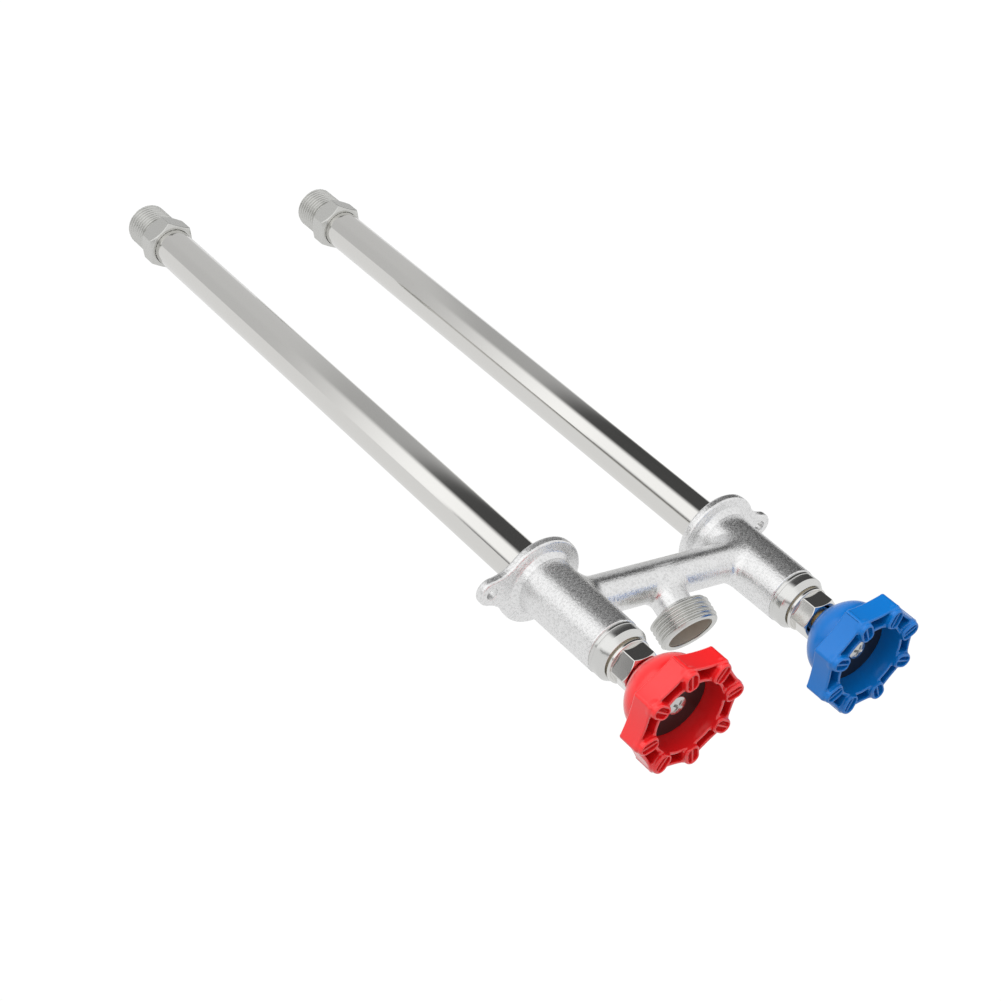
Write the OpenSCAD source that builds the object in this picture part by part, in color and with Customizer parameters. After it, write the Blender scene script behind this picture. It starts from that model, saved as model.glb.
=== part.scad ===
// Twin frost free sillcock: one casting with two valve bodies and a shared hose outlet,
// two long tubes that reach through the wall, and a wheel handle for hot and for cold.
// X runs from the hot side to the cold side, Y runs into the wall, Z is up.
// The origin lies on the wall face, midway between the two tubes.

/* [Layout] */
// Distance between the hot and the cold tube axes
centre_distance = 101.6; // [96:0.2:130]
// Wall face of the flanges to the tip of the inlet threads
inlet_reach = 323.5; // [200:0.5:420]
// How far the cold valve stands open as drawn
cold_open = 1; // [0.4:0.1:3]
// Turn of the hot handle about its stem, in degrees
hot_handle_turn = 65; // [0:0.5:90]
// Turn of the cold handle about its stem, in degrees
cold_handle_turn = 77.5; // [0:0.5:90]

/* [Wall flanges] */
// Radius of each round flange
flange_r = 20; // [18:0.1:24]
// Thickness of the flanges and their ears
flange_t = 4; // [3:0.1:5]
// Rounding of the flange edge
flange_edge_r = 1; // [0.5:0.1:1.4]
// Distance between the two screw holes
screw_spacing = 152.4; // [148:0.2:165]
// Radius of the screw holes in the ears
screw_hole_r = 2.6; // [2:0.1:3.5]
// Radius of the ear round its screw hole
ear_r = 6; // [5:0.1:7]
// Hollow radius where an ear runs into its flange
ear_fillet_r = 15; // [10:0.5:16]
// Radius of the collar that carries the tube behind the flange
rear_collar_r = 11.6; // [11.2:0.1:13]
// Length of that collar
rear_collar_len = 4; // [2:0.5:8]

/* [Valve bodies] */
// Wall face to the front end of each valve body
body_len = 58.5; // [56:0.5:66]
// Outer radius of the body next to the flange
body_rear_r = 13.1; // [12.8:0.1:14]
// Outer radius of the cast body at its front end
body_front_r = 12.8; // [12.6:0.1:13.4]
// How far the low boss on the flange stands out past the body
boss_step = 1.2; // [1:0.1:2]
// Height of that boss above the flange
boss_h = 1.6; // [1:0.1:3]
// How far the turned band at the front is cut below the cast skin
band_step = 0.4; // [0.2:0.1:0.6]
// Length of the turned band
band_len = 6; // [4:0.5:8]
// Radius of the small front face
nose_r = 10.7; // [10.4:0.1:11.5]
// Length of the front bevel
nose_len = 2.6; // [1.5:0.1:4]
// Radius of the water chamber inside each body
chamber_r = 8.2; // [7.6:0.1:8.4]
// Depth of the tube socket past the wall face
tube_socket = 10; // [8:0.5:11]
// Thickness of the threaded web that the stem turns in
web_t = 5; // [4:0.5:8]
// Depth of the front bore that takes the packing nut
nut_bore_depth = 9.5; // [8.5:0.5:12]

/* [Crossbar and hose outlet] */
// Wall face to the axis of the crossbar
bar_offset = 20; // [19:0.5:24]
// Outer radius of the crossbar
bar_r = 8.7; // [8.2:0.1:9.2]
// Radius of the water way through the crossbar
bar_bore_r = 6; // [5:0.1:6.6]
// Extra radius where the crossbar flares into each body
bar_flare = 1.8; // [1:0.1:2.4]
// Length of that flare
bar_flare_len = 5; // [3:0.5:8]
// Downward tilt of the outlet from straight out of the wall, in degrees
outlet_tilt = 21.4; // [10:0.2:40]
// Crossbar axis to the face of the hose outlet
outlet_reach = 27.4; // [26:0.2:36]
// Outer radius of the outlet neck
neck_r = 8.1; // [7.6:0.1:8.4]
// Radius of the 3/4 inch hose thread
hose_thread_r = 13.49; // [13.3:0.01:13.6]
// Length of the threaded hose collar
hose_thread_len = 11; // [9:0.5:12]
// Bevel at both ends of the hose collar
hose_bevel = 1; // [0.6:0.1:1.4]
// Radius of the open outlet mouth
mouth_r = 10.2; // [9:0.1:10.6]
// Depth of that mouth
mouth_depth = 8.4; // [6:0.2:9]
// Radius of the water way in the neck
neck_bore_r = 5.6; // [4.5:0.1:6]

/* [Tubes and inlets] */
// Outer radius of the 3/4 inch tubes
tube_r = 9.525; // [9:0.025:10]
// Wall of the tubes
tube_wall = 1; // [0.8:0.1:1.2]
// Depth of the tube socket in an inlet fitting
fitting_socket = 7; // [5:0.5:8]
// Length of the hexagon
inlet_hex_len = 10.5; // [9.5:0.5:16]
// Width across the flats of the hexagon
inlet_hex_flats = 22.5; // [22.2:0.1:26]
// Where a corner of the hexagon points, in degrees
inlet_hex_angle = 44; // [0:1:59]
// Radius of the 1/2 inch pipe thread
inlet_thread_r = 10.65; // [10.4:0.01:10.8]
// Length of the pipe thread
inlet_thread_len = 16; // [15:0.5:22]
// Bevel at the tip of the pipe thread
inlet_tip_bevel = 1.2; // [0.6:0.1:1.6]
// Radius of the relief groove behind the pipe thread
inlet_relief_r = 9.9; // [9.6:0.1:10.2]
// Length of the relief groove
inlet_relief_len = 1.5; // [1:0.1:3]
// Radius of the solder socket for 1/2 inch copper tube
solder_r = 7.97; // [7.9:0.01:8.05]
// Depth of the solder socket
solder_depth = 13; // [10:0.5:15]
// Radius of the water way behind the seat
inlet_bore_r = 6.4; // [5:0.1:7]

/* [Valve seat] */
// How far the seat stands into the tube from the hexagon
seat_reach = 6; // [4:0.5:10]
// Radius of the hole through the seat
seat_bore_r = 4.2; // [3.8:0.1:4.6]
// Radius of the raised sealing face
seat_face_r = 5.6; // [5.2:0.1:6]
// Radius of the seat washer
washer_r = 6.2; // [6:0.1:6.6]
// Thickness of the seat washer
washer_t = 3.5; // [3:0.1:4.5]
// Outer radius of the swivel cup that holds the washer
cup_r = 7.2; // [7:0.1:7.8]
// Length of the swivel cup
cup_len = 13; // [12:0.5:16]
// Depth of the washer recess in the cup
cup_recess = 1.6; // [1:0.1:2]
// Shank radius of the washer screw
washer_screw_r = 2; // [1.6:0.1:2.2]
// Head radius of the washer screw
washer_head_r = 3.2; // [2.8:0.1:3.5]
// Head height of the washer screw
washer_head_h = 1.9; // [1.4:0.1:2.4]

/* [Stem and packing] */
// Radius of the long operating rod
rod_r = 3; // [2.6:0.1:3.2]
// Depth of the rod in the stem
rod_joint = 7; // [5:0.5:7.5]
// Radius of the collar that the swivel cup holds
rod_collar_r = 3.7; // [3.5:0.1:4]
// Length of that collar
rod_collar_len = 1.6; // [1.2:0.1:2]
// Radius of the stem through the packing
stem_r = 4; // [3.8:0.05:4.2]
// Radius of the stem thread
stem_thread_r = 5.5; // [5.2:0.05:5.7]
// Length of the stem thread
stem_thread_len = 22; // [20:0.5:24]
// Wall face to the front end of the stem thread, valve closed
stem_thread_front = 52; // [51:0.5:53]
// Radius of the boss that takes the rod
stem_boss_r = 4.6; // [4.4:0.1:5]
// Length of that boss
stem_boss_len = 8; // [8:0.5:12]
// Width of the square that drives the handle
square_w = 5.6; // [5:0.1:5.6]
// Sealing ring thickness under the packing nut
gasket_t = 0.8; // [0.5:0.1:1.2]
// How far that ring lies inside the edge of the nut's shoulder
gasket_inset = 0.9; // [0.4:0.1:1.2]
// Radius of the round shoulder of the packing nut
nut_shoulder_r = 10.4; // [10.2:0.1:10.6]
// Thickness of that shoulder
nut_shoulder_t = 1.6; // [1:0.1:2.5]
// Width across the flats of the packing nut
nut_flats = 17.5; // [17:0.1:19]
// Where a corner of that hexagon points, in degrees
nut_hex_angle = 9; // [0:1:59]
// Length of the hexagon of the packing nut
nut_hex_len = 8.4; // [7:0.1:9]
// Radius of the thread under the nut
nut_thread_r = 8.5; // [8:0.05:9]
// Length of the thread under the nut
nut_thread_len = 7.6; // [6:0.2:8]
// Radius of the packing chamber
packing_r = 6.2; // [6:0.05:6.4]
// Wall of the nut in front of the packing
nut_front_wall = 2.6; // [2:0.1:4]
// Thickness of the packing
packing_t = 4; // [3:0.1:4.5]
// Thickness of the packing washer
packing_washer_t = 1; // [0.8:0.1:1.2]

/* [Handles] */
// Radius over the lobes
handle_r = 26.6; // [26:0.1:30]
// Stem axis to the flat panels between the lobes
panel_r = 24.7; // [24:0.1:26]
// How far the middle of each panel is hollowed
panel_dip = 0.8; // [0:0.1:1.4]
// Number of lobes
lobes = 8; // [7:1:9]
// Packing nut to the back of the closed handle
handle_gap = 0.9; // [0.6:0.1:3]
// Back of the handle to the plane of its rim
handle_depth = 26.8; // [25:0.2:30]
// How far the lobes stand in front of the rim
lobe_rise = 2.5; // [1:0.1:3.5]
// Length of the straight outer wall under the rim
skirt_len = 9.8; // [8:0.1:11]
// Radius of the bell where its back edge is rounded
bell_r = 15.2; // [14.6:0.1:16]
// Rounding of the back edge of the bell
bell_edge_r = 4; // [3:0.1:5]
// Radius of the cup at the rim
cup_rim_r = 16.6; // [16:0.1:17]
// Radius of the cup at its floor
cup_floor_r = 16; // [15:0.1:16]
// Depth of the cup
cup_depth = 10; // [9:0.2:11]
// Wall thickness of the handle
handle_wall = 1.4; // [1.2:0.1:1.6]
// Depth of the hollow between cup and outer wall
pocket_depth = 8; // [6:0.5:8.5]
// Half the angle that such a hollow spans, in degrees
pocket_half_angle = 12; // [10:0.5:13]
// Half the angle that a raised lobe spans, in degrees
lobe_half_angle = 9.5; // [8:0.5:10]
// Radius of the well in the front of a lobe
well_r = 2.3; // [1.8:0.1:2.4]
// Length of that well between its end centres
well_len = 2.2; // [1.6:0.1:2.6]
// Depth of that well
well_depth = 6; // [4:0.5:8]
// Width of the rib that crosses each well
rib_w = 0.9; // [0.6:0.1:1.2]
// Rounding of the outer front edge of the lobes
lobe_edge_r = 2; // [1:0.1:2.4]
// Outer radius of the hub inside the hollow back
hub_r = 6.6; // [6:0.1:7]
// Depth of the hollow in the back
back_hollow = 12; // [8:0.5:13]
// Radius of the plain disc in the cup
disc_r = 15.8; // [14:0.1:15.8]
// Thickness of the disc
disc_t = 0.8; // [0.5:0.1:1.2]
// Shank radius of the handle screw
handle_screw_r = 2; // [1.8:0.1:2.1]
// Length of the handle screw under its head
handle_screw_len = 11; // [9:0.5:13]
// Head radius of the handle screw
handle_head_r = 4.4; // [4:0.1:5]
// Head height of the handle screw
handle_head_h = 2.6; // [2:0.1:3.2]
// Width of the cross recess in the screw head
cross_w = 1.1; // [0.8:0.1:1.4]

/* [Fits] */
// Radial clearance of pieces that turn or seat in each other
fit_gap = 0.05; // [0.03:0.01:0.09]
// End clearance between seated pieces
end_gap = 0.05; // [0.02:0.01:0.1]

/* [Hidden] */
$fn = 96;

HOT = -1;
COLD = 1;
SATIN = "#c6c8c9";
CHROME = "#dadbd8";
BRASS = "#b8924a";
RUBBER = "#242424";
STEEL = "#b9bcc0";
HOT_RED = "#e8282c";
COLD_BLUE = "#0f68c4";

boss_r = body_rear_r + boss_step;
boss_fillet_r = boss_step - 0.5;
band_r = body_front_r - band_step;
// Stations are distances in front of the wall face, so the inlets are negative
hex_front = inlet_hex_len + inlet_thread_len - inlet_reach;
seat_z = hex_front + seat_reach;
tube_back = hex_front - fitting_socket + end_gap;
nut_seat = body_len + gasket_t;
nut_hex_base = nut_seat + nut_shoulder_t;
nut_front = nut_hex_base + nut_hex_len;
web_front = body_len - nut_bore_depth;
web_back = web_front - web_t;
handle_back = nut_front + handle_gap;
rim_z = handle_back + handle_depth;
floor_z = rim_z - cup_depth;
skirt_back = rim_z - skirt_len;
stem_tip = floor_z - 0.6;
square_start = handle_back + 1.2;
stem_thread_back = stem_thread_front - stem_thread_len;
stem_boss_back = stem_thread_back - stem_boss_len;
rod_front = stem_boss_back + rod_joint;
washer_back = seat_z + end_gap;
washer_front = washer_back + washer_t;
cup_back = washer_front - cup_recess;
cup_front = cup_back + cup_len;
rod_web = 1.5;
washer_screw_len = washer_t + 3.4;
rod_end = washer_back + washer_screw_len + end_gap + rod_web;
packing_front = nut_front - nut_front_wall;
packing_back = packing_front - packing_t;

// Points along an arc, from angle a0 to angle a1
function arc(cx, cy, r, a0, a1, n) =
    [for (i = [0 : n]) [cx + r * cos(a0 + (a1 - a0) * i / n),
                        cy + r * sin(a0 + (a1 - a0) * i / n)]];

// Angle from the middle of the nearest panel, for an angle from the middle of a lobe
function from_panel(a) = a - 360 / lobes * (floor(a * lobes / 360) + 0.5);

// Radius of the handle outline at an angle from the middle of a lobe
function outline_r(a) =
    min(handle_r, panel_r / cos(from_panel(a))
                  - panel_dip * pow(cos(from_panel(a) * lobes / 2), 2));

function polar(r, a) = [r * cos(a), r * sin(a)];

// Puts a piece on the hot or the cold tube axis, with its own Z pointing out of the wall
module on_axis(side) {
    translate([side * centre_distance / 2, 0, 0]) rotate([90, 0, 0]) children();
}

module rod_between(r, z0, z1) {
    translate([0, 0, z0]) cylinder(r = r, h = z1 - z0);
}

module ring_between(r_out, r_in, z0, z1) {
    difference() {
        rod_between(r_out, z0, z1);
        rod_between(r_in, z0 - 1, z1 + 1);
    }
}

// A hexagon between two stations, with its corners bevelled like a turned bar
module hexagon(flats, z0, z1, bevel) {
    corner_r = flats / 2 / cos(30);
    top_r = flats / 2 - 0.2;
    intersection() {
        translate([0, 0, z0]) cylinder(r = corner_r, h = z1 - z0, $fn = 6);
        rotate_extrude()
            polygon([[0, z0], [top_r, z0], [corner_r + 0.1, z0 + bevel],
                     [corner_r + 0.1, z1 - bevel], [top_r, z1], [0, z1]]);
    }
}

// Casting

// One ear: a round end that runs through hollow arcs into the flange
module ear_outline() {
    reach = screw_spacing / 2 - centre_distance / 2;
    far = flange_r - 0.3 + ear_fillet_r;
    near = ear_r + ear_fillet_r;
    cx = (far * far - near * near + reach * reach) / (2 * reach);
    cy = sqrt(far * far - cx * cx);
    root_angle = atan2(-cy, -cx);
    tip_angle = atan2(-cy, reach - cx);
    end_angle = atan2(cy, cx - reach) - 6;
    polygon(concat([[0, -flange_r / 2], [0, flange_r / 2]],
                   arc(cx, cy, ear_fillet_r, root_angle, tip_angle, 10),
                   arc(reach, 0, ear_r, end_angle, -end_angle, 18),
                   arc(cx, -cy, ear_fillet_r, -tip_angle, -root_angle, 10)));
}

module valve_body_outside() {
    band_back = body_len - nose_len - band_len;
    step = flange_t + boss_h;
    rotate_extrude()
        polygon(concat(
            [[0, -rear_collar_len], [rear_collar_r - 0.6, -rear_collar_len],
             [rear_collar_r, 0.6 - rear_collar_len], [rear_collar_r, 0],
             [flange_r - flange_edge_r, 0]],
            arc(flange_r - flange_edge_r, flange_edge_r, flange_edge_r, -90, 0, 4),
            arc(flange_r - flange_edge_r, flange_t - flange_edge_r, flange_edge_r, 0, 90, 4),
            [[boss_r, flange_t], [boss_r, step - 0.4], [boss_r - 0.4, step]],
            arc(body_rear_r + boss_fillet_r, step + boss_fillet_r, boss_fillet_r,
                270, 180, 4),
            [[body_front_r, band_back - 0.6], [band_r, band_back - 0.2],
             [band_r, body_len - nose_len], [nose_r, body_len], [0, body_len]]));
}

// The hollow flare that runs a round bar into the wall that it meets
module flare(r, extra, len) {
    rotate_extrude()
        polygon(concat([[0, 0], [r + extra, 0]],
                       [for (i = [1 : 6]) [r - 0.05 + extra * pow(1 - i / 6, 2), len * i / 6]],
                       [[0, len]]));
}

module on_outlet() {
    translate([0, -bar_offset, 0]) rotate([90 + outlet_tilt, 0, 0]) children();
}

module hose_collar() {
    back = outlet_reach - hose_thread_len;
    rotate_extrude()
        polygon([[0, back - 1.2], [neck_r - 0.1, back - 1.2],
                 [hose_thread_r - hose_bevel, back],
                 [hose_thread_r, back + hose_bevel],
                 [hose_thread_r, outlet_reach - hose_bevel],
                 [hose_thread_r - hose_bevel, outlet_reach], [0, outlet_reach]]);
}

module valve_casting() {
    half = centre_distance / 2;
    flare_start = sqrt(pow(body_rear_r, 2) - pow(bar_r + bar_flare, 2)) - 1;
    flare_len = body_rear_r - flare_start + bar_flare_len;
    color(SATIN) difference() {
        union() {
            for (side = [HOT, COLD]) {
                on_axis(side) {
                    valve_body_outside();
                    rotate([0, 0, 90 - side * 90])
                        linear_extrude(flange_t) ear_outline();
                }
                translate([side * (half - flare_start), -bar_offset, 0])
                    rotate([0, -side * 90, 0]) flare(bar_r, bar_flare, flare_len);
            }
            translate([-half, -bar_offset, 0]) rotate([0, 90, 0])
                cylinder(r = bar_r, h = centre_distance);
            on_outlet() {
                cylinder(r = neck_r, h = outlet_reach - 2);
                hose_collar();
            }
        }
        for (side = [HOT, COLD]) {
            on_axis(side) {
                rod_between(tube_r + fit_gap, -rear_collar_len - 1, tube_socket);
                rod_between(chamber_r, tube_socket - 1, web_back);
                rod_between(stem_thread_r + fit_gap, web_back - 1, web_front + 1);
                rod_between(nut_thread_r + fit_gap, web_front, body_len + 1);
            }
            translate([side * screw_spacing / 2, 1, 0]) rotate([90, 0, 0])
                cylinder(r = screw_hole_r, h = flange_t + 2);
        }
        translate([-half, -bar_offset, 0]) rotate([0, 90, 0])
            cylinder(r = bar_bore_r, h = centre_distance);
        on_outlet() {
            cylinder(r = neck_bore_r, h = outlet_reach + 1);
            rod_between(mouth_r, outlet_reach - mouth_depth, outlet_reach + 1);
        }
    }
}

// Tubes and inlets

module tube(side) {
    color(CHROME) on_axis(side)
        ring_between(tube_r, tube_r - tube_wall, tube_back, tube_socket - end_gap);
}

module inlet_fitting(side) {
    tip = -inlet_reach;
    hex_back = tip + inlet_thread_len;
    spigot_r = tube_r - tube_wall - fit_gap;
    socket_floor = hex_front - fitting_socket;
    color(CHROME) on_axis(side) difference() {
        union() {
            rotate([0, 0, inlet_hex_angle]) hexagon(inlet_hex_flats, hex_back, hex_front, 1.6);
            rotate_extrude()
                polygon([[0, socket_floor], [spigot_r, socket_floor],
                         [spigot_r, seat_z - 2], [seat_face_r + 0.8, seat_z - 1.2],
                         [seat_face_r, seat_z], [0, seat_z]]);
            rotate_extrude()
                polygon([[0, tip], [inlet_thread_r - inlet_tip_bevel, tip],
                         [inlet_thread_r, tip + inlet_tip_bevel],
                         [inlet_thread_r, hex_back - inlet_relief_len],
                         [inlet_relief_r, hex_back - inlet_relief_len + 0.6],
                         [inlet_relief_r, hex_back + 1], [0, hex_back + 1]]);
        }
        ring_between(tube_r + fit_gap, spigot_r, socket_floor, hex_front + 1);
        rod_between(solder_r, tip - 1, tip + solder_depth);
        rod_between(inlet_bore_r, tip + solder_depth - 1, socket_floor);
        rod_between(seat_bore_r, tip, seat_z + 1);
    }
}

// Packing nut and what it holds

module nut_gasket(side) {
    color("ivory") on_axis(side)
        ring_between(nut_shoulder_r - gasket_inset, nut_thread_r + fit_gap, body_len, nut_seat);
}

module packing_nut(side) {
    color(CHROME) on_axis(side) difference() {
        union() {
            rod_between(nut_thread_r, nut_seat - gasket_t - nut_thread_len, nut_seat + 0.5);
            rod_between(nut_shoulder_r, nut_seat, nut_hex_base);
            rotate([0, 0, nut_hex_angle]) hexagon(nut_flats, nut_hex_base - 0.4, nut_front, 1);
        }
        rod_between(packing_r, web_front - 1, packing_front);
        rod_between(stem_r + fit_gap, packing_front - 1, nut_front + 1);
    }
}

module packing(side) {
    color(RUBBER) on_axis(side)
        ring_between(packing_r - fit_gap, stem_r + fit_gap, packing_back, packing_front);
}

module packing_washer(side) {
    color(BRASS) on_axis(side)
        ring_between(packing_r - fit_gap, stem_r + fit_gap,
                     packing_back - packing_washer_t, packing_back);
}

// Pieces that travel with the stem; open is how far the valve stands open

module stem(side, open, turn) {
    color(BRASS) on_axis(side) translate([0, 0, open]) rotate([0, 0, turn]) difference() {
        union() {
            rod_between(stem_boss_r, stem_boss_back, stem_thread_back);
            rod_between(stem_thread_r, stem_thread_back, stem_thread_front);
            rod_between(stem_r, stem_thread_front, square_start);
            translate([-square_w / 2, -square_w / 2, square_start])
                cube([square_w, square_w, stem_tip - square_start]);
        }
        rod_between(rod_r + fit_gap, stem_boss_back - 1, rod_front + end_gap);
        rod_between(handle_screw_r + fit_gap, floor_z + disc_t - handle_screw_len - 1,
                    stem_tip + 1);
    }
}

module operating_rod(side, open) {
    color(BRASS) on_axis(side) translate([0, 0, open]) union() {
        rod_between(rod_r, rod_end, rod_front);
        rod_between(rod_collar_r, rod_end, rod_end + rod_collar_len);
    }
}

module swivel_cup(side, open) {
    color(BRASS) on_axis(side) translate([0, 0, open]) difference() {
        rotate_extrude()
            polygon([[0, cup_back], [cup_r, cup_back], [cup_r, cup_back + 5],
                     [cup_r - 1.4, cup_back + 7], [cup_r - 1.4, cup_front - 0.6],
                     [cup_r - 2, cup_front], [0, cup_front]]);
        rod_between(washer_r + fit_gap, cup_back - 1, washer_front);
        rod_between(washer_screw_r + fit_gap, washer_front - 1,
                    washer_back + washer_screw_len + end_gap);
        rod_between(rod_collar_r + fit_gap, rod_end - end_gap,
                    rod_end + rod_collar_len + end_gap);
        rod_between(rod_r + fit_gap, rod_end, cup_front + 1);
    }
}

module seat_washer(side, open) {
    color(RUBBER) on_axis(side) translate([0, 0, open])
        ring_between(washer_r, washer_screw_r + fit_gap, washer_back, washer_front);
}

module washer_screw(side, open) {
    color(BRASS) on_axis(side) translate([0, 0, open]) {
        rotate_extrude()
            polygon([[0, washer_back - washer_head_h],
                     [washer_head_r - 1, washer_back - washer_head_h],
                     [washer_head_r, washer_back - washer_head_h + 0.8],
                     [washer_head_r, washer_back], [washer_screw_r, washer_back],
                     [washer_screw_r, washer_back + washer_screw_len],
                     [0, washer_back + washer_screw_len]]);
    }
}

// Handles

module handle_outline() {
    steps = lobes * 24;
    polygon([for (i = [0 : steps - 1]) polar(outline_r(i * 360 / steps), i * 360 / steps)]);
}

// The bell: its rounded back, its cone and the reach of the outer wall
module bell_of_revolution(front) {
    edge = handle_back + bell_edge_r;
    rotate_extrude()
        polygon(concat(
            [[0, handle_back], [bell_r - bell_edge_r, handle_back]],
            arc(bell_r - bell_edge_r, edge, bell_edge_r, -90, -8, 6),
            [[bell_r + 0.4, edge + 1.6],
             [panel_r - 0.8, skirt_back - (handle_r - panel_r + 0.8) * 0.9],
             [handle_r - 0.8, skirt_back - 0.8], [handle_r, skirt_back],
             [handle_r, front - lobe_edge_r]],
            arc(handle_r - lobe_edge_r, front - lobe_edge_r, lobe_edge_r, 0, 90, 4),
            [[0, front]]));
}

// One hollow between the cup wall and the outer wall
module pocket(a) {
    inner = cup_rim_r + handle_wall;
    n = 8;
    angles = [for (i = [0 : n]) a - pocket_half_angle + 2 * pocket_half_angle * i / n];
    translate([0, 0, rim_z - pocket_depth])
        linear_extrude(pocket_depth + lobe_rise + 1)
            polygon(concat([for (b = angles) polar(outline_r(b) - handle_wall, b)],
                           [for (i = [n : -1 : 0]) polar(inner, angles[i])]));
}

module lobe_front(a) {
    reach = handle_r + 2;
    linear_extrude(rim_z + lobe_rise)
        polygon([[0, 0], polar(reach, a - lobe_half_angle), polar(reach * 1.02, a),
                 polar(reach, a + lobe_half_angle)]);
}

module lobe_well(a) {
    outer = handle_r - handle_wall - 0.4 - well_r;
    rotate([0, 0, a]) translate([0, 0, rim_z + lobe_rise - well_depth]) difference() {
        union() {
            translate([outer - well_len, -well_r, 0])
                cube([well_len, 2 * well_r, well_depth + 1]);
            translate([outer, 0, 0]) cylinder(r = well_r, h = well_depth + 1);
            translate([outer - well_len, 0, 0]) cylinder(r = well_r, h = well_depth + 1);
        }
        translate([outer - well_len - well_r - 1, -rib_w / 2, -1])
            cube([well_len + 2 * well_r + 2, rib_w, well_depth - 1.5]);
    }
}

module handle(side, open, turn, paint) {
    pitch = 360 / lobes;
    hole_w = square_w + 2 * fit_gap;
    color(paint) on_axis(side) translate([0, 0, open]) rotate([0, 0, turn])
    difference() {
        intersection() {
            bell_of_revolution(rim_z + lobe_rise);
            linear_extrude(rim_z + lobe_rise) handle_outline();
            union() {
                rod_between(handle_r + 2, 0, rim_z);
                for (i = [0 : lobes - 1]) lobe_front(i * pitch);
            }
        }
        rotate_extrude()
            polygon([[0, floor_z], [cup_floor_r, floor_z], [cup_rim_r, rim_z],
                     [cup_rim_r + 0.6, rim_z + lobe_rise + 1], [0, rim_z + lobe_rise + 1]]);
        for (i = [0 : lobes - 1]) {
            pocket((i + 0.5) * pitch);
            lobe_well(i * pitch);
        }
        ring_between(bell_r - bell_edge_r, hub_r, handle_back - 1,
                     handle_back + back_hollow);
        translate([-hole_w / 2, -hole_w / 2, handle_back - 1])
            cube([hole_w, hole_w, handle_depth]);
        rod_between(stem_r + 0.3, handle_back - 1, square_start + end_gap);
    }
}

module index_disc(side, open) {
    color(RUBBER) on_axis(side) translate([0, 0, open])
        ring_between(disc_r, handle_screw_r + fit_gap, floor_z, floor_z + disc_t);
}

module handle_screw(side, open, turn) {
    base = floor_z + disc_t;
    color(STEEL) on_axis(side) translate([0, 0, open]) rotate([0, 0, turn])
    difference() {
        rotate_extrude()
            polygon(concat(
                [[0, base - handle_screw_len], [handle_screw_r - 0.5,
                  base - handle_screw_len], [handle_screw_r, base - handle_screw_len + 0.5],
                 [handle_screw_r, base], [handle_head_r, base]],
                [for (i = [0 : 6]) [handle_head_r * cos(15 * i),
                                    base + 0.8 + (handle_head_h - 0.8) * sin(15 * i)]]));
        for (a = [0, 90]) rotate([0, 0, a])
            translate([-handle_head_r * 0.6, -cross_w / 2, base + handle_head_h - 1.5])
                cube([handle_head_r * 1.2, cross_w, 2]);
    }
}

valve_casting();

tube(HOT);  // hot_tube
inlet_fitting(HOT);  // hot_inlet_fitting
packing_nut(HOT);  // hot_packing_nut
nut_gasket(HOT);  // hot_nut_gasket
packing(HOT);  // hot_packing
packing_washer(HOT);  // hot_packing_washer
stem(HOT, 0, hot_handle_turn);  // hot_stem
operating_rod(HOT, 0);  // hot_operating_rod
swivel_cup(HOT, 0);  // hot_swivel_cup
seat_washer(HOT, 0);  // hot_seat_washer
washer_screw(HOT, 0);  // hot_washer_screw
handle(HOT, 0, hot_handle_turn, HOT_RED);  // hot_handle
index_disc(HOT, 0);  // hot_index_disc
handle_screw(HOT, 0, hot_handle_turn);  // hot_handle_screw

tube(COLD);  // cold_tube
inlet_fitting(COLD);  // cold_inlet_fitting
packing_nut(COLD);  // cold_packing_nut
nut_gasket(COLD);  // cold_nut_gasket
packing(COLD);  // cold_packing
packing_washer(COLD);  // cold_packing_washer
stem(COLD, cold_open, cold_handle_turn);  // cold_stem
operating_rod(COLD, cold_open);  // cold_operating_rod
swivel_cup(COLD, cold_open);  // cold_swivel_cup
seat_washer(COLD, cold_open);  // cold_seat_washer
washer_screw(COLD, cold_open);  // cold_washer_screw
handle(COLD, cold_open, cold_handle_turn, COLD_BLUE);  // cold_handle
index_disc(COLD, cold_open);  // cold_index_disc
handle_screw(COLD, cold_open, cold_handle_turn);  // cold_handle_screw
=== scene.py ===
# %% [markdown]
# # A twin frost free sillcock, from CAD solids to a studio picture
#
# The tap is a hot and a cold valve in one casting. Long tubes reach through the wall, so
# that the seats sit where it never freezes, and the water drains out of the front part.
# The solids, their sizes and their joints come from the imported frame. This lesson gives
# them their real surfaces: cast skin, turned and plated faces, cut threads and enamel.

import math

import bpy
import numpy as np
from mathutils import Matrix, Vector


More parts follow.
